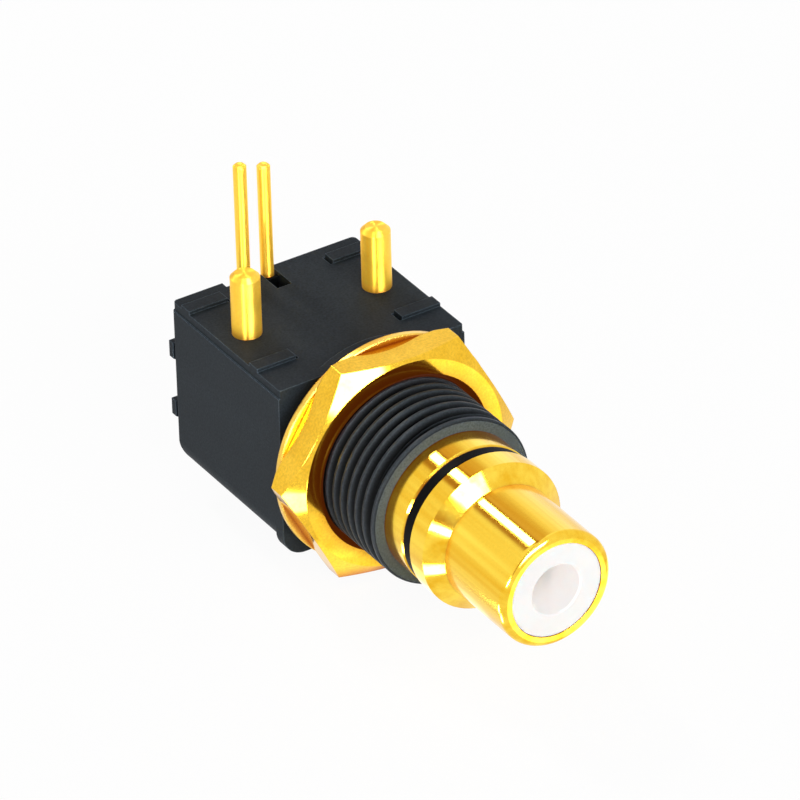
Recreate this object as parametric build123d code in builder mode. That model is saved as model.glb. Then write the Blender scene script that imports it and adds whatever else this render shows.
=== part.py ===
from build123d import *
import math
import os

# Right-angle RCA (phono) socket for a printed circuit board and a panel.
# Millimetres. The barrel's axis is the Y axis and the barrel points along -Y.
# +Z is the side that faces the board. The origin is on the barrel's axis, on the face of
# the round shoulder that meets the back of the panel.

# Housing: moulded box
body_front_y = 1.0
body_depth = 13.2
body_half_width = 7.12
top_z = 6.1
body_bottom_z = -6.35
top_step_width = 0.1
top_step_height = 0.62
bottom_round = 1.7
rear_edge_round = 0.35
front_edge_round = 0.12
lip_thickness = 0.9
lip_drop = 0.5
lip_corner_round = 1.65
side_wall = 1.2
top_wall = 1.5
bottom_wall = 2.05
front_wall = 1.6
cavity_round = 0.3

# Housing: standoff bars on the board side
bar_height = 0.25
bar_width = 1.0
bar_length = 2.95
front_bar_y = 4.2
rear_bar_inset = 1.6
bar_end_groove = 0.18
bar_groove_depth = 0.25

# Housing: slot and notches for the thin pins
pin_slot_width = 1.1
pin_slot_length = 2.6
rear_recess_depth = 0.55
rear_recess_side = 3.2
pin_notch_depth = 0.95

# Housing: panel shoulder and neck, whose radius is that of its thread's crests
shoulder_radius = 7.0
neck_radius = 6.0
neck_length = 8.3
neck_end_chamfer = 0.15

# Panel washer and panel nut
washer_radius = 8.2
washer_thickness = 0.5
washer_clearance = 0.15
nut_across_flats = 15.5
nut_thickness = 2.25
nut_turn = -2.4
nut_front_chamfer = 0.82
nut_back_chamfer = 0.25
nut_chamfer_angle = 30
nut_clearance = 0.04
nut_countersink = 0.4

# Outer shell: barrel, collar and rear ring
barrel_radius = 4.15
barrel_wall = 0.78
barrel_tip_y = -20.45
barrel_rim_round = 0.45
collar_step = 1.1
collar_front_y = -12.95
collar_cone_length = 0.9
collar_back_y = -11.25
ring_step = 1.0
ring_front_y = -10.45
ring_bevel = 0.18
groove_depth = 0.55
shank_step = 0.6
shank_end_y = 5.2
bore_step = 0.48
bore_step_y = -8.6

# Marker ring in the groove
marker_inset = 0.05
marker_side_gap = 0.03

# Insulators
insulator_recess = 0.05
mouth_radius = 1.8
mouth_bevel = 0.1
contact_recess = 4.0
insulator_rear_y = -4.2

# Centre contact for a 3.2 mm pin
socket_radius = 1.6
socket_wall = 0.5
socket_length = 10.2
finger_slot_width = 0.4
finger_slot_length = 6.5
contact_flange_radius = 2.5
contact_flange_thickness = 0.8
contact_shank_radius = 1.1
contact_end_inset = 6.2
solder_cup_depth = 3.0

# Thin pins
tail_radius = 0.45
tail_inset = 0.45
tail_bend = 1.2
signal_tip_z = 14.35
earth_tip_z = 14.95
earth_tail_x = -1.8
earth_tail_lap = 1.1
tail_tip_chamfer = 0.15

# Posts
post_radius = 1.0
post_side_inset = 2.12
post_rear_inset = 6.0
post_tip_z = 10.65
post_tip_chamfer = 0.3
post_shank_radius = 0.7
spigot_radius = 0.45
rivet_radius = 0.7
rivet_height = 0.35

# Earth plate and ring nut
plate_thickness = 0.6
plate_margin = 1.07
plate_end_gap = 0.05
plate_side_gap = 0.15
plate_shoulder_z = 1.5
tongue_margin = 1.2
tongue_rear_margin = 1.6
earth_arm_x = -1.2
earth_arm_width = 1.2
ring_nut_wall = 0.6
ring_nut_thickness = 1.4
ring_nut_slot_width = 1.2
ring_nut_slot_depth = 0.3

# Rear cover
cover_thickness = 0.5
cover_edge_inset = 0.75
cover_top_gap = 0.15
cover_round = 0.6
cover_rim_depth = 1.5
cover_rim_wall = 0.8
ear_centres_z = (2.0, -2.5)
ear_height = 1.7
ear_slope = 0.5
pin_block_width = 2.2
pin_block_length = 1.1
slot_key_gap = 0.06
slot_key_length = 0.3
slot_key_drop = 0.2

# Clearances between pieces of the same assembly
fit_gap = 0.03

# Values that follow from the dimensions above
body_rear_y = body_front_y + body_depth
rear_bar_y = body_rear_y - rear_bar_inset
tail_y = body_rear_y - tail_inset
contact_end_y = body_rear_y - contact_end_inset
post_x = body_half_width - post_side_inset
post_y = body_rear_y - post_rear_inset
collar_radius = barrel_radius + collar_step
ring_radius = barrel_radius + ring_step
groove_radius = ring_radius - groove_depth
marker_radius = ring_radius - marker_inset
shank_radius = barrel_radius - shank_step
shell_front_bore = barrel_radius - barrel_wall
shell_rear_bore = shell_front_bore - bore_step
cavity_front_y = body_front_y + front_wall
cavity_half_width = body_half_width - side_wall
cavity_top_z = top_z - top_wall
cavity_bottom_z = body_bottom_z + bottom_wall
neck_bore = shank_radius + fit_gap
top_half_width = body_half_width - top_step_width
step_z = top_z - top_step_height
bar_centre_x = top_half_width - bar_length / 2
contact_front_y = barrel_tip_y + contact_recess
contact_radius = socket_radius + socket_wall
contact_floor_y = contact_front_y + socket_length
flange_rear_y = insulator_rear_y + contact_flange_thickness
plate_radius = neck_bore + plate_margin
ring_nut_radius = neck_bore + ring_nut_wall
plate_rear_y = cavity_front_y + plate_thickness
plate_top_z = cavity_top_z - plate_end_gap
plate_bottom_z = cavity_bottom_z + plate_end_gap
tongue_bottom_z = plate_top_z - plate_thickness
tongue_outer_x = cavity_half_width - plate_side_gap
tongue_inner_x = post_x - tongue_margin
tongue_end_y = post_y + tongue_rear_margin
earth_tail_start_y = tongue_end_y - earth_tail_lap
earth_tail_z = tongue_bottom_z - tail_radius - fit_gap


def facing_front(y):
    """Plane across the barrel's axis at this y, whose normal points to the front (-Y)."""
    return Plane.XZ.offset(-y)


# Housing
with BuildPart() as housing:
    # Box up to the step, then the narrower slab above it
    for half_width, low_z, high_z in (
        (body_half_width, body_bottom_z, step_z),
        (top_half_width, step_z, top_z),
    ):
        with BuildSketch(Plane.XY.offset(low_z)) as outline:
            with Locations((0, body_front_y + body_depth / 2)):
                Rectangle(2 * half_width, body_depth)
            fillet(outline.vertices().group_by(Axis.Y)[-1], rear_edge_round)
            fillet(outline.vertices().group_by(Axis.Y)[0], front_edge_round)
        extrude(amount=high_z - low_z)
    bottom_face = housing.faces().sort_by(Axis.Z)[0]
    bottom_edges = bottom_face.edges()
    front_bottom_edge = bottom_edges.sort_by(Axis.Y)[0]
    fillet(bottom_edges - ShapeList([front_bottom_edge]), bottom_round)
    # Lip that stands a little below the box at the front
    with BuildSketch(facing_front(body_front_y + lip_thickness)) as lip:
        with Locations((0, (step_z + body_bottom_z - lip_drop) / 2)):
            Rectangle(2 * body_half_width, step_z - body_bottom_z + lip_drop)
        fillet(lip.vertices().group_by(Axis.Y)[0], lip_corner_round)
    extrude(amount=lip_thickness)
    # Round shoulder and neck
    with BuildSketch(Plane.XY):
        with BuildLine():
            Polyline(
                (0, body_front_y + lip_thickness),
                (shoulder_radius, body_front_y + lip_thickness),
                (shoulder_radius, 0),
                (neck_radius, 0),
                (neck_radius, neck_end_chamfer - neck_length),
                (neck_radius - neck_end_chamfer, -neck_length),
                (0, -neck_length),
                close=True,
            )
        make_face()
    revolve(axis=Axis.Y)
    # Bore for the shell's shank, through the neck and the front wall
    with BuildSketch(facing_front(cavity_front_y)):
        Circle(neck_bore)
    extrude(amount=cavity_front_y + neck_length, mode=Mode.SUBTRACT)
    # Cavity, open at the rear
    with BuildSketch(facing_front(body_rear_y)) as cavity:
        with Locations((0, (cavity_top_z + cavity_bottom_z) / 2)):
            RectangleRounded(2 * cavity_half_width, cavity_top_z - cavity_bottom_z, cavity_round)
    extrude(amount=body_rear_y - cavity_front_y, mode=Mode.SUBTRACT)
    # Standoff bars, each with a short groove at its inner end
    with BuildSketch(Plane.XY.offset(top_z)):
        for bar_y in (front_bar_y, rear_bar_y):
            with Locations((-bar_centre_x, bar_y), (bar_centre_x, bar_y)):
                Rectangle(bar_length, bar_width)
    extrude(amount=bar_height)
    with BuildSketch(Plane.XY.offset(top_z)):
        groove_x = bar_centre_x - bar_length / 2 - bar_end_groove / 2
        for bar_y in (front_bar_y, rear_bar_y):
            with Locations((-groove_x, bar_y), (groove_x, bar_y)):
                Rectangle(bar_end_groove, bar_width)
    extrude(amount=-bar_groove_depth, mode=Mode.SUBTRACT)
    # Holes for the posts
    with BuildSketch(Plane.XY.offset(top_z)):
        with Locations((-post_x, post_y), (post_x, post_y)):
            Circle(post_shank_radius + fit_gap)
    extrude(amount=-top_wall - cavity_round, mode=Mode.SUBTRACT)
    # Slot of the signal pin, notch of the earth pin and the shallow recess beside them
    with BuildSketch(Plane.XY.offset(top_z)):
        with Locations((0, body_rear_y - pin_slot_length / 2)):
            Rectangle(pin_slot_width, pin_slot_length)
        with Locations((earth_tail_x, body_rear_y - pin_notch_depth / 2)):
            Rectangle(pin_slot_width, pin_notch_depth)
        recess_width = rear_recess_side + pin_slot_width / 2
        with Locations((pin_slot_width / 2 - recess_width / 2, body_rear_y - rear_recess_depth / 2)):
            Rectangle(recess_width, rear_recess_depth)
    extrude(amount=-top_wall, mode=Mode.SUBTRACT)

# Rear cover: plate with two ears on each side and a rim that plugs into the cavity
with BuildPart() as rear_cover:
    cover_half_width = body_half_width - cover_edge_inset
    cover_top_z = cavity_top_z - cover_top_gap
    cover_bottom_z = body_bottom_z + bottom_round
    with BuildSketch(facing_front(body_rear_y + cover_thickness)):
        with Locations((0, (cover_top_z + cover_bottom_z) / 2)):
            RectangleRounded(2 * cover_half_width, cover_top_z - cover_bottom_z, cover_round)
        for ear_z in ear_centres_z:
            ear_top = ear_z + ear_height / 2
            ear_bottom = ear_z - ear_height / 2
            with BuildLine():
                Polyline(
                    (-body_half_width, ear_top),
                    (body_half_width, ear_top),
                    (body_half_width, ear_bottom + ear_slope),
                    (cover_half_width, ear_bottom),
                    (-cover_half_width, ear_bottom),
                    (-body_half_width, ear_bottom + ear_slope),
                    close=True,
                )
            make_face()
    extrude(amount=cover_thickness)
    with BuildSketch(facing_front(body_rear_y)):
        rim_half_width = cavity_half_width - fit_gap
        rim_bottom_z = cavity_bottom_z + fit_gap
        rim_top_z = tongue_bottom_z - cover_rim_wall
        with Locations((0, (rim_top_z + rim_bottom_z) / 2)):
            RectangleRounded(2 * rim_half_width, rim_top_z - rim_bottom_z, cavity_round)
        with Locations((0, (rim_top_z + rim_bottom_z) / 2 + cover_rim_wall)):
            Rectangle(
                2 * (rim_half_width - cover_rim_wall),
                rim_top_z - rim_bottom_z,
                mode=Mode.SUBTRACT,
            )
    extrude(amount=cover_rim_depth)
    # Block round the signal pin under the top wall, and its key in the slot in front of the pin
    with BuildSketch(Plane.XY.offset(rim_top_z)):
        with Locations((0, body_rear_y - pin_block_length / 2)):
            Rectangle(pin_block_width, pin_block_length)
    extrude(amount=cavity_top_z - fit_gap - rim_top_z)
    with BuildSketch(Plane.XY.offset(rim_top_z)):
        with Locations((0, body_rear_y - pin_block_length + slot_key_length / 2)):
            Rectangle(pin_slot_width - 2 * slot_key_gap, slot_key_length)
    extrude(amount=top_z - slot_key_drop - rim_top_z)
    with BuildSketch(Plane.XY.offset(rim_top_z)):
        with Locations((0, tail_y)):
            Circle(tail_radius + fit_gap)
    extrude(amount=top_z - rim_top_z, mode=Mode.SUBTRACT)

# Panel washer
with BuildPart() as panel_washer:
    with BuildSketch(facing_front(0)):
        Circle(washer_radius)
        Circle(neck_radius + washer_clearance, mode=Mode.SUBTRACT)
    extrude(amount=washer_thickness)
    outer_edges = panel_washer.edges().filter_by(GeomType.CIRCLE).group_by(SortBy.RADIUS)[-1]
    chamfer(outer_edges, washer_thickness / 8)

# Panel nut: hexagon cut by the cones of its two chamfers
with BuildPart() as panel_nut:
    nut_corner_radius = nut_across_flats / math.sqrt(3)
    nut_back_y = -washer_thickness
    nut_front_y = nut_back_y - nut_thickness
    nut_bore = neck_radius + nut_clearance
    cone_slope = math.tan(math.radians(nut_chamfer_angle))
    with BuildSketch(facing_front(nut_back_y)):
        RegularPolygon(nut_corner_radius, 6, rotation=nut_turn)
        Circle(nut_bore, mode=Mode.SUBTRACT)
    extrude(amount=nut_thickness)
    with BuildSketch(Plane.XY):
        with BuildLine():
            Polyline(
                (0, nut_back_y),
                (nut_corner_radius - nut_back_chamfer / cone_slope, nut_back_y),
                (nut_corner_radius, nut_back_y - nut_back_chamfer),
                (nut_corner_radius, nut_front_y + nut_front_chamfer),
                (nut_corner_radius - nut_front_chamfer / cone_slope, nut_front_y),
                (0, nut_front_y),
                close=True,
            )
        make_face()
    revolve(axis=Axis.Y, mode=Mode.INTERSECT)
    bore_edges = panel_nut.edges().filter_by(GeomType.CIRCLE).group_by(SortBy.RADIUS)[0]
    chamfer(bore_edges, nut_countersink)

# Outer shell
with BuildPart() as outer_shell:
    with BuildSketch(Plane.XY) as shell_profile:
        with BuildLine():
            Polyline(
                (shell_front_bore, barrel_tip_y),
                (barrel_radius, barrel_tip_y),
                (barrel_radius, collar_front_y - collar_cone_length),
                (collar_radius, collar_front_y),
                (collar_radius, collar_back_y - ring_bevel),
                (collar_radius - ring_bevel, collar_back_y),
                (groove_radius, collar_back_y),
                (groove_radius, ring_front_y),
                (ring_radius - ring_bevel, ring_front_y),
                (ring_radius, ring_front_y + ring_bevel),
                (ring_radius, -neck_length),
                (shank_radius, -neck_length),
                (shank_radius, shank_end_y),
                (shell_rear_bore, shank_end_y),
                (shell_rear_bore, bore_step_y),
                (shell_front_bore, bore_step_y),
                close=True,
            )
        make_face()
        rim_corner = shell_profile.vertices().group_by(Axis.Y)[0].sort_by(Axis.X)[-1]
        fillet(rim_corner, barrel_rim_round)
    revolve(axis=Axis.Y)

# Marker ring, seated on the groove's floor
with BuildPart() as marker_ring:
    with BuildSketch(facing_front(ring_front_y - marker_side_gap)):
        Circle(marker_radius)
        Circle(groove_radius + fit_gap, mode=Mode.SUBTRACT)
    extrude(amount=ring_front_y - collar_back_y - 2 * marker_side_gap)

# Front insulator, with a bevelled mouth for the plug's pin
with BuildPart() as front_insulator:
    insulator_front_y = barrel_tip_y + insulator_recess
    pocket_radius = contact_radius + fit_gap
    with BuildSketch(Plane.XY) as insulator_profile:
        with BuildLine():
            Polyline(
                (mouth_radius, insulator_front_y),
                (shell_front_bore - fit_gap, insulator_front_y),
                (shell_front_bore - fit_gap, bore_step_y),
                (shell_rear_bore - fit_gap, bore_step_y),
                (shell_rear_bore - fit_gap, insulator_rear_y),
                (pocket_radius, insulator_rear_y),
                (pocket_radius, contact_front_y - fit_gap),
                (mouth_radius, contact_front_y - fit_gap),
                close=True,
            )
        make_face()
        mouth_corner = insulator_profile.vertices().group_by(Axis.Y)[0].sort_by(Axis.X)[0]
        chamfer(mouth_corner, mouth_bevel)
    revolve(axis=Axis.Y)

# Rear insulator, round the contact's shank
with BuildPart() as rear_insulator:
    with BuildSketch(facing_front(shank_end_y)):
        Circle(shell_rear_bore - fit_gap)
        Circle(contact_shank_radius + fit_gap, mode=Mode.SUBTRACT)
    extrude(amount=shank_end_y - flange_rear_y)

# Centre contact: slotted socket, flange, shank and solder cup
with BuildPart() as centre_contact:
    with BuildSketch(Plane.XY) as contact_profile:
        with BuildLine():
            Polyline(
                (socket_radius, contact_front_y),
                (contact_radius, contact_front_y),
                (contact_radius, insulator_rear_y),
                (contact_flange_radius, insulator_rear_y),
                (contact_flange_radius, flange_rear_y),
                (contact_shank_radius, flange_rear_y),
                (contact_shank_radius, contact_end_y),
                (tail_radius + fit_gap, contact_end_y),
                (tail_radius + fit_gap, contact_end_y - solder_cup_depth),
                (0, contact_end_y - solder_cup_depth),
                (0, contact_floor_y),
                (socket_radius, contact_floor_y),
                close=True,
            )
        make_face()
        finger_tips = contact_profile.vertices().group_by(Axis.Y)[0]
        chamfer(finger_tips, socket_wall / 4)
    revolve(axis=Axis.Y)
    with BuildSketch(facing_front(contact_front_y + finger_slot_length)):
        Rectangle(2 * contact_flange_radius, finger_slot_width)
        Rectangle(finger_slot_width, 2 * contact_flange_radius)
    extrude(amount=finger_slot_length, mode=Mode.SUBTRACT)

# Signal tail: from the contact's solder cup, back and then up through the slot
with BuildPart() as signal_tail:
    with BuildLine():
        FilletPolyline(
            (0, contact_end_y - solder_cup_depth + fit_gap, 0),
            (0, tail_y, 0),
            (0, tail_y, signal_tip_z),
            radius=tail_bend,
        )
    with BuildSketch(facing_front(contact_end_y - solder_cup_depth + fit_gap)):
        Circle(tail_radius)
    sweep()
    chamfer(signal_tail.edges().sort_by(Axis.Z)[-1], tail_tip_chamfer)

# Earth tail: lies against the earth plate's arm, then rises beside the signal tail
with BuildPart() as earth_tail:
    with BuildLine():
        FilletPolyline(
            (earth_tail_x, earth_tail_start_y, earth_tail_z),
            (earth_tail_x, tail_y, earth_tail_z),
            (earth_tail_x, tail_y, earth_tip_z),
            radius=tail_bend,
        )
    with BuildSketch(facing_front(earth_tail_start_y)):
        with Locations((earth_tail_x, earth_tail_z)):
            Circle(tail_radius)
    sweep()
    chamfer(earth_tail.edges().sort_by(Axis.Z)[-1], tail_tip_chamfer)

# Earth plate: upright plate round the shank, with two tongues bent back under the top wall
with BuildPart() as earth_plate:
    with BuildSketch(facing_front(plate_rear_y)):
        Circle(plate_radius)
        with Locations((0, (plate_top_z + plate_shoulder_z) / 2)):
            Rectangle(2 * tongue_outer_x, plate_top_z - plate_shoulder_z)
        with Locations((0, (plate_top_z + plate_bottom_z) / 2)):
            Rectangle(2 * tongue_outer_x, plate_top_z - plate_bottom_z, mode=Mode.INTERSECT)
        Circle(neck_bore, mode=Mode.SUBTRACT)
    extrude(amount=plate_thickness)
    with BuildSketch(Plane.XY.offset(tongue_bottom_z)):
        tongue_centre_x = (tongue_inner_x + tongue_outer_x) / 2
        tongue_centre_y = (cavity_front_y + tongue_end_y) / 2
        with Locations((-tongue_centre_x, tongue_centre_y), (tongue_centre_x, tongue_centre_y)):
            Rectangle(tongue_outer_x - tongue_inner_x, tongue_end_y - cavity_front_y)
        with Locations(((earth_arm_x - tongue_inner_x) / 2, tongue_end_y - earth_arm_width / 2)):
            Rectangle(tongue_inner_x + earth_arm_x, earth_arm_width)
        with Locations((-post_x, post_y), (post_x, post_y)):
            Circle(spigot_radius + fit_gap, mode=Mode.SUBTRACT)
    extrude(amount=plate_thickness)

# Ring nut with four spanner slots
with BuildPart() as shell_ring_nut:
    with BuildSketch(facing_front(plate_rear_y + ring_nut_thickness)):
        Circle(ring_nut_radius)
        Circle(neck_bore, mode=Mode.SUBTRACT)
        with PolarLocations(ring_nut_radius, 4):
            Rectangle(2 * ring_nut_slot_depth, ring_nut_slot_width, mode=Mode.SUBTRACT)
    extrude(amount=ring_nut_thickness)

# Posts: each has a shank through the top wall and is riveted to its tongue
posts = []
for side, label in ((-1, "left_post"), (1, "right_post")):
    with BuildPart() as post:
        with BuildSketch(Plane.XZ.offset(-post_y)) as post_profile:
            rivet_top_z = tongue_bottom_z - fit_gap
            shoulder_z = plate_top_z + fit_gap
            with BuildLine():
                Polyline(
                    (side * post_x, rivet_top_z - rivet_height),
                    (side * post_x + spigot_radius, rivet_top_z - rivet_height),
                    (side * post_x + rivet_radius, rivet_top_z),
                    (side * post_x + spigot_radius, rivet_top_z),
                    (side * post_x + spigot_radius, shoulder_z),
                    (side * post_x + post_shank_radius, shoulder_z),
                    (side * post_x + post_shank_radius, top_z),
                    (side * post_x + post_radius, top_z),
                    (side * post_x + post_radius, post_tip_z),
                    (side * post_x, post_tip_z),
                    close=True,
                )
            make_face()
            tip_corner = post_profile.vertices().group_by(Axis.Y)[-1].sort_by(Axis.X)[-1]
            chamfer(tip_corner, post_tip_chamfer)
        revolve(axis=Axis((side * post_x, post_y, 0), (0, 0, 1)))
    post.part.label = label
    posts.append(post)

housing.part.label = "housing"
rear_cover.part.label = "rear_cover"
panel_washer.part.label = "panel_washer"
panel_nut.part.label = "panel_nut"
outer_shell.part.label = "outer_shell"
marker_ring.part.label = "marker_ring"
front_insulator.part.label = "front_insulator"
rear_insulator.part.label = "rear_insulator"
centre_contact.part.label = "centre_contact"
signal_tail.part.label = "signal_tail"
earth_tail.part.label = "earth_tail"
earth_plate.part.label = "earth_plate"
shell_ring_nut.part.label = "shell_ring_nut"

os.makedirs("parts", exist_ok=True)
export_step(housing.part, "parts/housing.step")
export_step(rear_cover.part, "parts/rear_cover.step")
export_step(panel_washer.part, "parts/panel_washer.step")
export_step(panel_nut.part, "parts/panel_nut.step")
export_step(outer_shell.part, "parts/outer_shell.step")
export_step(marker_ring.part, "parts/marker_ring.step")
export_step(front_insulator.part, "parts/front_insulator.step")
export_step(rear_insulator.part, "parts/rear_insulator.step")
export_step(centre_contact.part, "parts/centre_contact.step")
export_step(signal_tail.part, "parts/signal_tail.step")
export_step(earth_tail.part, "parts/earth_tail.step")
export_step(earth_plate.part, "parts/earth_plate.step")
export_step(shell_ring_nut.part, "parts/shell_ring_nut.step")
for post in posts:
    export_step(post.part, f"parts/{post.part.label}.step")
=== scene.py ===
import math

import bpy
from mathutils import Matrix, Vector


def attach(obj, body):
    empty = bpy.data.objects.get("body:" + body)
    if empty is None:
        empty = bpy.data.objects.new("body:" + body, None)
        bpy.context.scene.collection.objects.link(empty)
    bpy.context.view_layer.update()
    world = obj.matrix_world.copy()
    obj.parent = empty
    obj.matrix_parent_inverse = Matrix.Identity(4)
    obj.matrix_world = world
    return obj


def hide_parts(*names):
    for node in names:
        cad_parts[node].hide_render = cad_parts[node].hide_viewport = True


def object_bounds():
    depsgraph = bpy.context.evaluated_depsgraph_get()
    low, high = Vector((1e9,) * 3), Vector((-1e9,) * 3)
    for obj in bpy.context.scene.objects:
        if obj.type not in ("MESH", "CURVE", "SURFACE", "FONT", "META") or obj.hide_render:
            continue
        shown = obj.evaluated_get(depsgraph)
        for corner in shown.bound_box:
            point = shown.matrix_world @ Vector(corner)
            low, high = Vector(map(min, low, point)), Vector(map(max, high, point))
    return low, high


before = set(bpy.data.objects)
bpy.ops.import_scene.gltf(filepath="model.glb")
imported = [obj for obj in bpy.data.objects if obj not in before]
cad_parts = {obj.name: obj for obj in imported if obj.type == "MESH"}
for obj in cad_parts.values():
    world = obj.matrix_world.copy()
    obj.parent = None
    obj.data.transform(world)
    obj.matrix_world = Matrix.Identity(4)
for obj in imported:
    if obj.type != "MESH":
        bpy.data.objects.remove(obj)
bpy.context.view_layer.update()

MM = 0.001
scene = bpy.context.scene

# Neck and its thread, in mm
NECK_R = 6.0
NECK_END = -8.3
PITCH = 0.875
DEPTH = 0.5
CREST = 0.16
THREAD_PHASE = -0.22
THREAD_START = -0.25
START_FADE = 0.5
THREAD_END = -7.95
END_FADE = 0.12
UNDERCUT_Y = -7.72
UNDERCUT_HALF = 0.24
END_BEVEL = 0.15
END_FACE_DEPTH = 0.01
# The faces of the plain neck lie between these places along it and outside this radius
PLAIN_REAR, PLAIN_FRONT = -0.01, -8.2995
PLAIN_INNER_R = 5.6


# Shader nodes
def feed(tree, node, inputs):
    """Link or set the node's inputs: an output is linked, a plain value is set."""
    for key, value in inputs.items():
        if isinstance(value, bpy.types.NodeSocket):
            tree.links.new(value, node.inputs[key])
        else:
            node.inputs[key].default_value = value


def add_node(tree, kind, inputs, operation=None):
    node = tree.nodes.new(kind)
    if operation:
        node.operation = operation
    feed(tree, node, inputs)
    return node


def calculate(tree, operation, *values):
    return add_node(tree, "ShaderNodeMath", dict(enumerate(values)), operation).outputs["Value"]


def vector_math(tree, operation, *values):
    return add_node(tree, "ShaderNodeVectorMath", dict(enumerate(values)), operation).outputs


def remap(tree, value, low, high, start=0.0, end=1.0):
    """The value, which runs from start to end, made to run from low to high."""
    inputs = {"Value": value, "From Min": start, "From Max": end, "To Min": low, "To Max": high}
    return add_node(tree, "ShaderNodeMapRange", inputs).outputs["Result"]


def scaled(tree, colour, factor):
    """The colour times the factor."""
    return add_node(tree, "ShaderNodeVectorMath", {0: colour, "Scale": factor}, "SCALE").outputs["Vector"]


def blend(tree, factor, first, second):
    """The first colour where the factor is 0, the second where it is 1."""
    change = vector_math(tree, "SUBTRACT", second, first)["Vector"]
    return vector_math(tree, "MULTIPLY_ADD", change, factor, first)["Vector"]


def object_coordinates(tree):
    return tree.nodes.new("ShaderNodeTexCoord").outputs["Object"]


# Grain, edges and shade of the surfaces
NOISE_LOW, NOISE_HIGH = 0.3, 0.7
BEVEL_SAMPLES = 6


def noise(tree, scale, detail=2.0, rough=0.6, stretch=(1, 1, 1)):
    """A noise texture in object space; scale is in cells a metre."""
    mapping = add_node(tree, "ShaderNodeMapping", {"Vector": object_coordinates(tree), "Scale": stretch})
    inputs = {"Vector": mapping.outputs["Vector"], "Scale": scale, "Detail": detail, "Roughness": rough}
    return add_node(tree, "ShaderNodeTexNoise", inputs).outputs["Fac"]


def colour_mix(tree, value, dark, light):
    """The dark colour where the noise is low, the light one where it is high."""
    ramp = add_node(tree, "ShaderNodeValToRGB", {"Fac": value})
    ends = ((NOISE_LOW, dark), (NOISE_HIGH, light))
    for stop, (position, colour) in zip(ramp.color_ramp.elements, ends):
        stop.position = position
        stop.color = (*colour, 1)
    return ramp.outputs["Color"]


def speckled(tree, colour, grain, amount):
    """The colour, a little darker and lighter from grain to grain."""
    return scaled(tree, colour, remap(tree, grain, 1 - amount, 1 + amount, NOISE_LOW, NOISE_HIGH))


def bump(tree, height, strength, distance, normal):
    inputs = {"Height": height, "Strength": strength, "Distance": distance, "Normal": normal}
    return add_node(tree, "ShaderNodeBump", inputs).outputs["Normal"]


def soft_edge(tree, radius):
    """The surface's direction, rounded over edges by this radius in metres."""
    node = add_node(tree, "ShaderNodeBevel", {"Radius": radius})
    node.samples = BEVEL_SAMPLES
    return node.outputs["Normal"]


def radius_from_axis(tree):
    """Distance from the barrel's axis, in metres."""
    across = vector_math(tree, "MULTIPLY", object_coordinates(tree), (1, 0, 1))["Vector"]
    return vector_math(tree, "LENGTH", across)["Value"]


def new_material(name):
    mat = bpy.data.materials.new(name)
    mat.use_nodes = True
    return mat, mat.node_tree, mat.node_tree.nodes["Principled BSDF"]


def look(mat, inputs):
    """Link or set inputs of a finished material's shader."""
    feed(mat.node_tree, mat.node_tree.nodes["Principled BSDF"], inputs)


def shaded(mat, factor):
    """Multiply the material's colour by the factor."""
    colour = mat.node_tree.nodes["Principled BSDF"].inputs["Base Color"].links[0].from_socket
    look(mat, {"Base Color": scaled(mat.node_tree, colour, factor)})


# Plastics; lengths are in mm, grain and marks in cells a metre
FLOW_MARKS = 260
FLOW_STRETCH = (1, 0.35, 1)
SHEEN_SPREAD = 0.05
GRAIN_STRENGTH = 0.35
# Painted highlight along the edges: its reach, the range over which it fades, and its gain
EDGE_HIGHLIGHT_REACH = 2.2
EDGE_HIGHLIGHT_RANGE = (0.75, 0.97)
EDGE_HIGHLIGHT_GAIN = 4.5
NO_EDGE_HIGHLIGHT = 1.0


def plastic(name, dark, light, rough, grain, grain_height, specular, edge, highlight_gain=EDGE_HIGHLIGHT_GAIN, speckle=0.28):
    """Moulded plastic: a fine eroded grain, faint flow marks, an uneven sheen and a painted highlight that
    makes the edges paler.
    """
    mat, tree, shader = new_material(name)
    flow = noise(tree, FLOW_MARKS, detail=3.0, rough=0.55, stretch=FLOW_STRETCH)
    fine = noise(tree, grain)
    surface = speckled(tree, colour_mix(tree, flow, dark, light), fine, speckle)
    true_normal = tree.nodes.new("ShaderNodeNewGeometry").outputs["Normal"]
    # The colour is painted paler along rounded edges, a painted highlight
    flatness = vector_math(tree, "DOT_PRODUCT", soft_edge(tree, EDGE_HIGHLIGHT_REACH * edge * MM), true_normal)["Value"]
    edge_highlight = remap(tree, flatness, highlight_gain, 1.0, *EDGE_HIGHLIGHT_RANGE)
    inputs = {
        "Base Color": scaled(tree, surface, edge_highlight),
        "Roughness": remap(tree, flow, rough - SHEEN_SPREAD, rough + SHEEN_SPREAD),
        "Normal": bump(tree, fine, GRAIN_STRENGTH, grain_height * MM, soft_edge(tree, edge * MM)),
        "Specular IOR Level": specular,
    }
    feed(tree, shader, inputs)
    return mat


SATIN_BLACK = {
    "dark": (0.017, 0.023, 0.029),
    "light": (0.023, 0.03, 0.037),
    "rough": 0.5,
    "grain": 7000,
    "grain_height": 0.007,
    "specular": 0.07,
    "edge": 0.07,
}
black = plastic("black_satin_plastic", **SATIN_BLACK)
cover_black = plastic("cover_satin_plastic", **SATIN_BLACK)
ring_black = plastic(
    "ring_black_plastic",
    dark=(0.001, 0.001, 0.0012),
    light=(0.002, 0.002, 0.0022),
    rough=0.5,
    grain=6000,
    grain_height=0.004,
    specular=0.06,
    edge=0.04,
)
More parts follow.
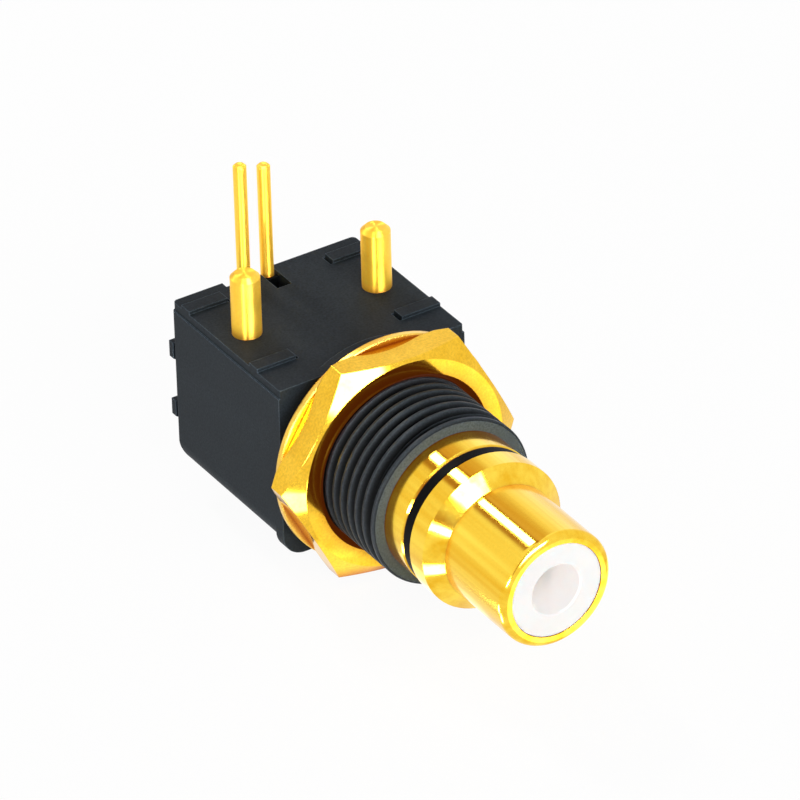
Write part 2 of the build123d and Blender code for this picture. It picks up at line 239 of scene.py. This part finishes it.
# The neck's end face is the same black plastic, painted lighter as a painted sheen
end_face_painted_sheen = plastic(
    "end_face_plastic_painted_sheen",
    dark=(0.06, 0.08, 0.105),
    light=(0.072, 0.094, 0.12),
    rough=0.55,
    grain=7000,
    grain_height=0.005,
    specular=0.07,
    edge=0.05,
    highlight_gain=NO_EDGE_HIGHLIGHT,
)
THREAD_ROUGH = 0.42
thread_black = plastic(
    "thread_black_plastic",
    dark=(0.032, 0.04, 0.048),
    light=(0.042, 0.051, 0.06),
    rough=THREAD_ROUGH,
    grain=7000,
    grain_height=0.006,
    specular=0.12,
    edge=0.03,
    highlight_gain=NO_EDGE_HIGHLIGHT,
)
white = plastic(
    "white_plastic",
    dark=(0.88, 0.87, 0.86),
    light=(0.92, 0.91, 0.905),
    rough=0.45,
    grain=3000,
    grain_height=0.004,
    specular=0.4,
    edge=0.06,
    highlight_gain=NO_EDGE_HIGHLIGHT,
    speckle=0.0,
)

# The cover's key and pin block stand in the shade of the pin slot
SLOT_Z = 4.6
SLOT_FADE = 0.1
SLOT_SHADE = 0.04
tree = cover_black.node_tree
height = add_node(tree, "ShaderNodeSeparateXYZ", {"Vector": object_coordinates(tree)}).outputs["Z"]
shaded(cover_black, remap(tree, height, 1.0, SLOT_SHADE, SLOT_Z * MM, (SLOT_Z + SLOT_FADE) * MM))

# The thread's colour carries a painted shade that deepens from its crests down into its roots, and the thread
# dulls there
ROOT_POWER = 3.5
ROOT_PAINTED_SHADE = 0.05
ROOT_ROUGH = 0.9
tree = thread_black.node_tree
rise = remap(tree, radius_from_axis(tree), 0.0, 1.0, (NECK_R - DEPTH) * MM, NECK_R * MM)
openness = calculate(tree, "POWER", rise, ROOT_POWER)
shaded(thread_black, remap(tree, openness, ROOT_PAINTED_SHADE, 1.0))
look(thread_black, {"Roughness": remap(tree, openness, ROOT_ROUGH, THREAD_ROUGH)})

# Light passes through the milky plastic; its bore glows with a painted light
BORE_R = 1.8
BORE_FADE = 0.12
BORE_GLOW = 0.16
tree = white.node_tree
bore_painted_glow = remap(tree, radius_from_axis(tree), BORE_GLOW, 0.0, BORE_R * MM, (BORE_R + BORE_FADE) * MM)
milky_with_painted_glow = {
    "Subsurface Weight": 0.9,
    "Subsurface Radius": (0.003, 0.0024, 0.0022),
    "Emission Color": (1.0, 0.95, 0.97, 1),
    "Emission Strength": bore_painted_glow,
}
look(white, milky_with_painted_glow)


# Gold plate; lengths are in mm, drift, spots and lines in cells a metre
PLATE_DRIFT = 700
PLATE_SPECKLE = 5500
PLATE_SPOTS = 900
TOOL_LINES = 400
LINE_STRENGTH = 0.12
LINE_HEIGHT = 0.004
SPOT_POLISH, SPOT_DULL = 0.6, 1.6
# Colour of the gold's faint painted glow
PAINTED_GLOW_RED = (1.0, 0.18, 0.01, 1)
# Painted shade in corners and gaps: its red colour, its samples and the range over which it fades
CORNER_SHADE_RED = (0.3, 0.05, 0.008)
CORNER_SAMPLES = 8
CORNER_SHADE_RANGE = (0.4, 0.95)
GROOVE_SPREAD = 0.9
QUARTER_TURN = 0.25


def painted_crevice_shade(tree, colour, shade_tint, distance):
    """The colour, turning to the tint as a painted shade in corners and gaps that are narrower than the
    distance.
    """
    open_sky = add_node(tree, "ShaderNodeAmbientOcclusion", {"Distance": distance})
    open_sky.samples = CORNER_SAMPLES
    return blend(tree, remap(tree, open_sky.outputs["AO"], 0.0, 1.0, *CORNER_SHADE_RANGE), shade_tint, colour)


def gold(name, dark, light, rough, tooling, edge, speckle=0.05, glow=0.07, shade_reach=0.8):
    """Gold plate over worked metal: soft colour drift, fine tool lines and duller spots, with a painted shade
    that turns red in corners and a faint painted glow.
    """
    mat, tree, shader = new_material(name)
    drift = noise(tree, PLATE_DRIFT, detail=3.0, rough=0.55, stretch=tooling)
    plate = speckled(tree, colour_mix(tree, drift, dark, light), noise(tree, PLATE_SPECKLE), speckle)
    spots = noise(tree, PLATE_SPOTS, detail=4.0)
    lines = noise(tree, TOOL_LINES, rough=0.5, stretch=tooling)
    inputs = {
        "Base Color": painted_crevice_shade(tree, plate, CORNER_SHADE_RED, shade_reach * MM),
        "Metallic": 1.0,
        "Roughness": remap(tree, spots, rough * SPOT_POLISH, rough * SPOT_DULL),
        "Normal": bump(tree, lines, LINE_STRENGTH, LINE_HEIGHT * MM, soft_edge(tree, edge * MM)),
        # A faint warm glow, painted light
        "Emission Color": PAINTED_GLOW_RED,
        "Emission Strength": glow,
    }
    feed(tree, shader, inputs)
    return mat


def grooved(mat, axis):
    """Fine grooves round this axis, which draw reflections out along it."""
    tangent = mat.node_tree.nodes.new("ShaderNodeTangent")
    tangent.direction_type = "RADIAL"
    tangent.axis = axis
    inputs = {
        "Tangent": tangent.outputs["Tangent"],
        "Anisotropic": GROOVE_SPREAD,
        "Anisotropic Rotation": QUARTER_TURN,
    }
    look(mat, inputs)


gold_turned = gold(
    "gold_plate_turned",
    dark=(0.82, 0.48, 0.02),
    light=(1.0, 0.76, 0.085),
    rough=0.1,
    tooling=(1.4, 0.04, 1.4),
    edge=0.05,
    speckle=0.025,
    shade_reach=0.25,
)
grooved(gold_turned, "Y")
gold_nut = gold(
    "gold_plate_milled",
    dark=(0.8, 0.49, 0.028),
    light=(0.88, 0.56, 0.045),
    rough=0.09,
    tooling=(1, 0.3, 1),
    edge=0.08,
    speckle=0.11,
    shade_reach=1.8,
)
gold_stamped = gold(
    "gold_plate_stamped",
    dark=(0.86, 0.56, 0.07),
    light=(0.93, 0.64, 0.13),
    rough=0.26,
    tooling=(0.6, 1, 0.6),
    edge=0.22,
)
gold_inner = gold(
    "gold_plate_inner",
    dark=(0.8, 0.5, 0.06),
    light=(0.9, 0.6, 0.1),
    rough=0.3,
    tooling=(0.6, 1, 0.6),
    edge=0.05,
    glow=0.0,
)
gold_wire = gold(
    "gold_plate_wire",
    dark=(0.98, 0.56, 0.03),
    light=(1.0, 0.68, 0.09),
    rough=0.37,
    tooling=(1, 1, 0.05),
    edge=0.06,
    glow=0.17,
)
grooved(gold_wire, "Z")
# The wire glows with a painted orange light
look(gold_wire, {"Metallic": 0.82, "Emission Color": (1.0, 0.55, 0.04, 1)})

finish = {
    "rear_cover": cover_black,
    "housing": black,
    "marker_ring": ring_black,
    "front_insulator": white,
    "rear_insulator": white,
    "outer_shell": gold_turned,
    "centre_contact": gold_inner,
    "shell_ring_nut": gold_inner,
    "panel_nut": gold_nut,
    "panel_washer": gold_stamped,
    "earth_plate": gold_inner,
    "signal_tail": gold_wire,
    "earth_tail": gold_wire,
    "left_post": gold_wire,
    "right_post": gold_wire,
}
for node, mat in finish.items():
    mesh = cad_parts[node].data
    mesh.materials.clear()
    mesh.materials.append(mat)


# Housing with its thread: points round and along the neck, and the step in mm over which its slope is taken
AROUND = 240
ROWS = 236
SLOPE_STEP = 0.012
# A triangle of fewer square metres is only a line
NO_AREA = 1e-13


def thread_radius(y, turn):
    """Radius of the neck at this y, and this many turns round from +Z towards +X."""
    phase = ((y + THREAD_PHASE) / PITCH - turn) % 1.0
    from_root = abs(phase - 0.5) * PITCH
    flank = (PITCH - CREST) / 2
    depth = DEPTH * max(0.0, 1 - from_root / flank)
    at_start = max(0.0, (THREAD_START - y) / START_FADE)
    at_end = max(0.0, (y - THREAD_END) / END_FADE)
    undercut = DEPTH * max(0.0, 1 - abs(y - UNDERCUT_Y) / UNDERCUT_HALF)
    radius = NECK_R - max(depth * min(1.0, at_start, at_end), undercut)
    bevel = max(0.0, END_BEVEL - (y - NECK_END))
    return min(radius, NECK_R - bevel)


def thread_point(y, turn):
    radius = thread_radius(y, turn)
    angle = 2 * math.pi * turn
    return Vector((radius * math.sin(angle), y, radius * math.cos(angle)))


def thread_normal(y, turn):
    low = max(NECK_END, y - SLOPE_STEP)
    high = min(0.0, y + SLOPE_STEP)
    slope = (thread_radius(high, turn) - thread_radius(low, turn)) / (high - low)
    angle = 2 * math.pi * turn
    return Vector((math.sin(angle), -slope, math.cos(angle))).normalized()


def housing_without_neck():
    """The housing's own points, faces and corner normals, but for the plain neck and faces of no area."""
    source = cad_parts["housing"].data
    verts, faces, normals = [], [], []
    kept = {}
    for poly in source.polygons:
        centre = poly.center / MM
        outside = math.hypot(centre.x, centre.z) > PLAIN_INNER_R
        on_neck = PLAIN_FRONT < centre.y < PLAIN_REAR and outside
        if on_neck or poly.area < NO_AREA:
            continue
        face = []
        for corner in poly.loop_indices:
            vertex = source.loops[corner].vertex_index
            if vertex not in kept:
                kept[vertex] = len(verts)
                verts.append(source.vertices[vertex].co.copy())
            face.append(kept[vertex])
            normals.append(source.corner_normals[corner].vector.copy())
        faces.append(face)
    return verts, faces, normals


def thread_grid():
    """Points and normals of the thread row by row, and its faces by the points' numbers."""
    points, normals, quads = [], [], []
    for row in range(ROWS + 1):
        y = NECK_END * row / ROWS
        for column in range(AROUND):
            points.append(thread_point(y, column / AROUND) * MM)
            normals.append(thread_normal(y, column / AROUND))
    for row in range(ROWS):
        for column in range(AROUND):
            near = row * AROUND
            far = near + AROUND
            following = (column + 1) % AROUND
            quads.append((near + column, far + column, far + following, near + following))
    return points, normals, quads


def threaded_housing():
    """The housing with its own faces and corner normals, and a real thread in place of the plain neck."""
    verts, faces, normals = housing_without_neck()
    plain_verts, plain_faces = len(verts), len(faces)
    points, point_normals, quads = thread_grid()
    verts += points
    for quad in quads:
        faces.append([plain_verts + point for point in quad])
        normals += [point_normals[point] for point in quad]
    mesh = bpy.data.meshes.new("threaded_housing")
    mesh.from_pydata(verts, [], faces)
    mesh.shade_smooth()
    mesh.normals_split_custom_set(normals)
    for mat in (black, thread_black, end_face_painted_sheen):
        mesh.materials.append(mat)
    for poly in mesh.polygons:
        if poly.index >= plain_faces:
            poly.material_index = 1
        elif poly.center.y < (NECK_END + END_FACE_DEPTH) * MM:
            poly.material_index = 2
    piece = bpy.data.objects.new("threaded_housing", mesh)
    scene.collection.objects.link(piece)
    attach(piece, "socket")
    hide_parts("housing")


threaded_housing()


# Camera: lengths in mm, the focal length in pixels
AZIMUTH, ELEVATION, ROLL = math.radians(-31.815), math.radians(33.0515), math.radians(-1.6)
TARGET = Vector((0, -2.0, 0))
DISTANCE = 534.6636
MOVE_RIGHT, MOVE_UP = 0.0628, 3.7313
FOCAL = 8270.82
IMAGE_SIDE = 800
SENSOR = 36
NEAREST, FARTHEST = 10, 20000
back = Vector((
    math.sin(AZIMUTH) * math.cos(ELEVATION),
    -math.cos(AZIMUTH) * math.cos(ELEVATION),
    math.sin(ELEVATION),
))
level = Vector((math.cos(AZIMUTH), math.sin(AZIMUTH), 0))
upright = back.cross(level)
right = math.cos(ROLL) * level + math.sin(ROLL) * upright
up = math.cos(ROLL) * upright - math.sin(ROLL) * level
place = (TARGET + back * DISTANCE + right * MOVE_RIGHT + up * MOVE_UP) * MM
camera_data = bpy.data.cameras.new("camera")
camera_data.sensor_width = SENSOR
camera_data.lens = FOCAL * SENSOR / IMAGE_SIDE
camera_data.clip_start = NEAREST * MM
camera_data.clip_end = FARTHEST * MM
camera = bpy.data.objects.new("camera", camera_data)
camera.matrix_world = Matrix.Translation(place) @ Matrix((right, up, back)).transposed().to_4x4()
scene.collection.objects.link(camera)
scene.camera = camera


# Rays that see the floor and the studio
ONE_REFLECTION = 1.5


def sees_white(tree, path):
    """1 for a ray from the camera, from a reflection or through glass."""
    seen = calculate(tree, "MAXIMUM", path["Is Camera Ray"], path["Is Glossy Ray"])
    return calculate(tree, "MAXIMUM", seen, path["Is Transmission Ray"])


def first_reflection(tree, path):
    """1 for a ray that comes straight from one reflection."""
    once = calculate(tree, "LESS_THAN", path["Glossy Depth"], ONE_REFLECTION)
    return calculate(tree, "MULTIPLY", once, path["Is Glossy Ray"])


# Floor: white to the camera and in reflections, with a part of its real shading left for the shadow; in mm
FLOOR_SIDE = 4000
FLOOR_GAP = 0.05
FLOOR_WHITENESS = 0.95
WHITE = (1, 1, 1)
# Cards on the floor that only reflections see: place and radius in mm, and how much brighter than the floor
CARDS = (
    (-13.9, -12.9, 3.6, 18.0),
    (-11.0, -19.3, 2.6, 18.0),
    (12.0, -17.0, 10.0, 0.8),
    (-2.2, -8.9, 3.2, 0.4),
    (-4.5, -4.5, 3.5, 0.6),
    (6.0, -29.0, 7.0, 1.2),
)
CARD_CORE = 0.8
floor_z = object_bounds()[0][2] - FLOOR_GAP * MM
bpy.ops.mesh.primitive_plane_add(size=FLOOR_SIDE * MM, location=(0, 0, floor_z))
floor = bpy.context.object
floor.name = "floor"
mat, tree, shader = new_material("floor_white")
feed(tree, shader, {"Base Color": (*WHITE, 1), "Roughness": 0.9, "Specular IOR Level": 0.1})
path = tree.nodes.new("ShaderNodeLightPath").outputs
reflected = first_reflection(tree, path)
spot = object_coordinates(tree)
strength = 1.0
for card_x, card_y, card_r, gain in CARDS:
    away = vector_math(tree, "DISTANCE", spot, (card_x * MM, card_y * MM, 0))["Value"]
    card = remap(tree, away, gain, 0.0, CARD_CORE * card_r * MM, card_r * MM)
    strength = calculate(tree, "MULTIPLY_ADD", card, reflected, strength)
glow = add_node(tree, "ShaderNodeEmission", {"Color": (*WHITE, 1), "Strength": strength})
share = remap(tree, sees_white(tree, path), 0.0, FLOOR_WHITENESS)
inputs = {"Fac": share, 1: shader.outputs["BSDF"], 2: glow.outputs["Emission"]}
mix = add_node(tree, "ShaderNodeMixShader", inputs)
feed(tree, tree.nodes["Material Output"], {"Surface": mix.outputs["Shader"]})
floor.data.materials.append(mat)


# World: a plain white light, and for reflections a white studio with warm bands between its walls
WORLD_LIGHT = 0.35
WARM = (0.62, 0.43, 0.25)
BROWN = (0.36, 0.2, 0.1)
TAN = (0.7, 0.5, 0.35)
SAND = (0.75, 0.6, 0.4)
PALE = (1.25, 1.3, 1.8)
# Colours round the studio, by heading in degrees from +Y towards +X; both ends of the circle are white
BANDS = (
    (-150, WHITE),
    (-146, BROWN),
    (-138, WARM),
    (-135, WHITE),
    (-22, WHITE),
    (-20, BROWN),
    (5, BROWN),
    (9, TAN),
    (26, SAND),
    (34, WHITE),
    (42, PALE),
    (60, WHITE),
)
# The large lamp in front, as reflections see it: ranges of a direction's X, Y and Z, and their soft edges
BOX_SIDES = (("X", -0.26, 0.26, 0.03), ("Z", 0.17, 0.6, 0.02), ("Y", -1.0, -0.1, 0.02))
BOX_LEVEL = 30.0


def between(tree, value, low, high, soft):
    """1 between low and high, falling to 0 over the soft width outside them."""
    rise = remap(tree, value, 0.0, 1.0, low - soft, low)
    fall = remap(tree, value, 1.0, 0.0, high, high + soft)
    return calculate(tree, "MULTIPLY", rise, fall)


world = bpy.data.worlds.new("studio")
scene.world = world
world.use_nodes = True
tree = world.node_tree
direction = tree.nodes.new("ShaderNodeTexCoord").outputs["Generated"]
split = add_node(tree, "ShaderNodeSeparateXYZ", {"Vector": direction}).outputs
heading = calculate(tree, "ARCTAN2", split["X"], split["Y"])
ramp = add_node(tree, "ShaderNodeValToRGB", {"Fac": remap(tree, heading, 0.0, 1.0, -math.pi, math.pi)})
stops = ramp.color_ramp.elements
for azimuth, colour in BANDS:
    stops.new(azimuth / 360 + 0.5).color = (*colour, 1)
stops[0].color = (*WHITE, 1)
stops[-1].color = (*WHITE, 1)
path = tree.nodes.new("ShaderNodeLightPath").outputs
plain = remap(tree, sees_white(tree, path), WORLD_LIGHT, 1.0)
box = first_reflection(tree, path)
for side, low, high, soft in BOX_SIDES:
    box = calculate(tree, "MULTIPLY", box, between(tree, split[side], low, high, soft))
inputs = {
    "Color": blend(tree, path["Is Glossy Ray"], WHITE, ramp.outputs["Color"]),
    "Strength": calculate(tree, "MULTIPLY_ADD", box, BOX_LEVEL, plain),
}
feed(tree, tree.nodes["Background"], inputs)


# Lamps
def area(name, azimuth, elevation, distance, size, power):
    """A lamp aimed at the object: heading (0 is +Y) and height in degrees, distance and size in metres."""
    az, el = math.radians(azimuth), math.radians(elevation)
    place = Vector((math.sin(az) * math.cos(el), math.cos(az) * math.cos(el), math.sin(el))) * distance
    data = bpy.data.lights.new(name, "AREA")
    data.shape = "RECTANGLE"
    data.size, data.size_y = size
    data.energy = power
    lamp = bpy.data.objects.new(name, data)
    lamp.location = place
    lamp.rotation_euler = (-place).to_track_quat("-Z", "Y").to_euler()
    scene.collection.objects.link(lamp)
    return lamp


area("strip_behind", azimuth=-4, elevation=45, distance=0.6, size=(0.09, 0.16), power=0.95)
front_box = area("front_box", azimuth=182, elevation=28, distance=0.9, size=(0.66, 0.33), power=4.1)
front_box.visible_glossy = False
area("side_fill", azimuth=-133, elevation=6, distance=0.8, size=(0.1, 0.2), power=1.0)
edge_light = area("edge_light", azimuth=-134, elevation=3, distance=0.8, size=(0.2, 0.12), power=6.0)
edge_light.visible_diffuse = False

scene.view_settings.view_transform = "Standard"
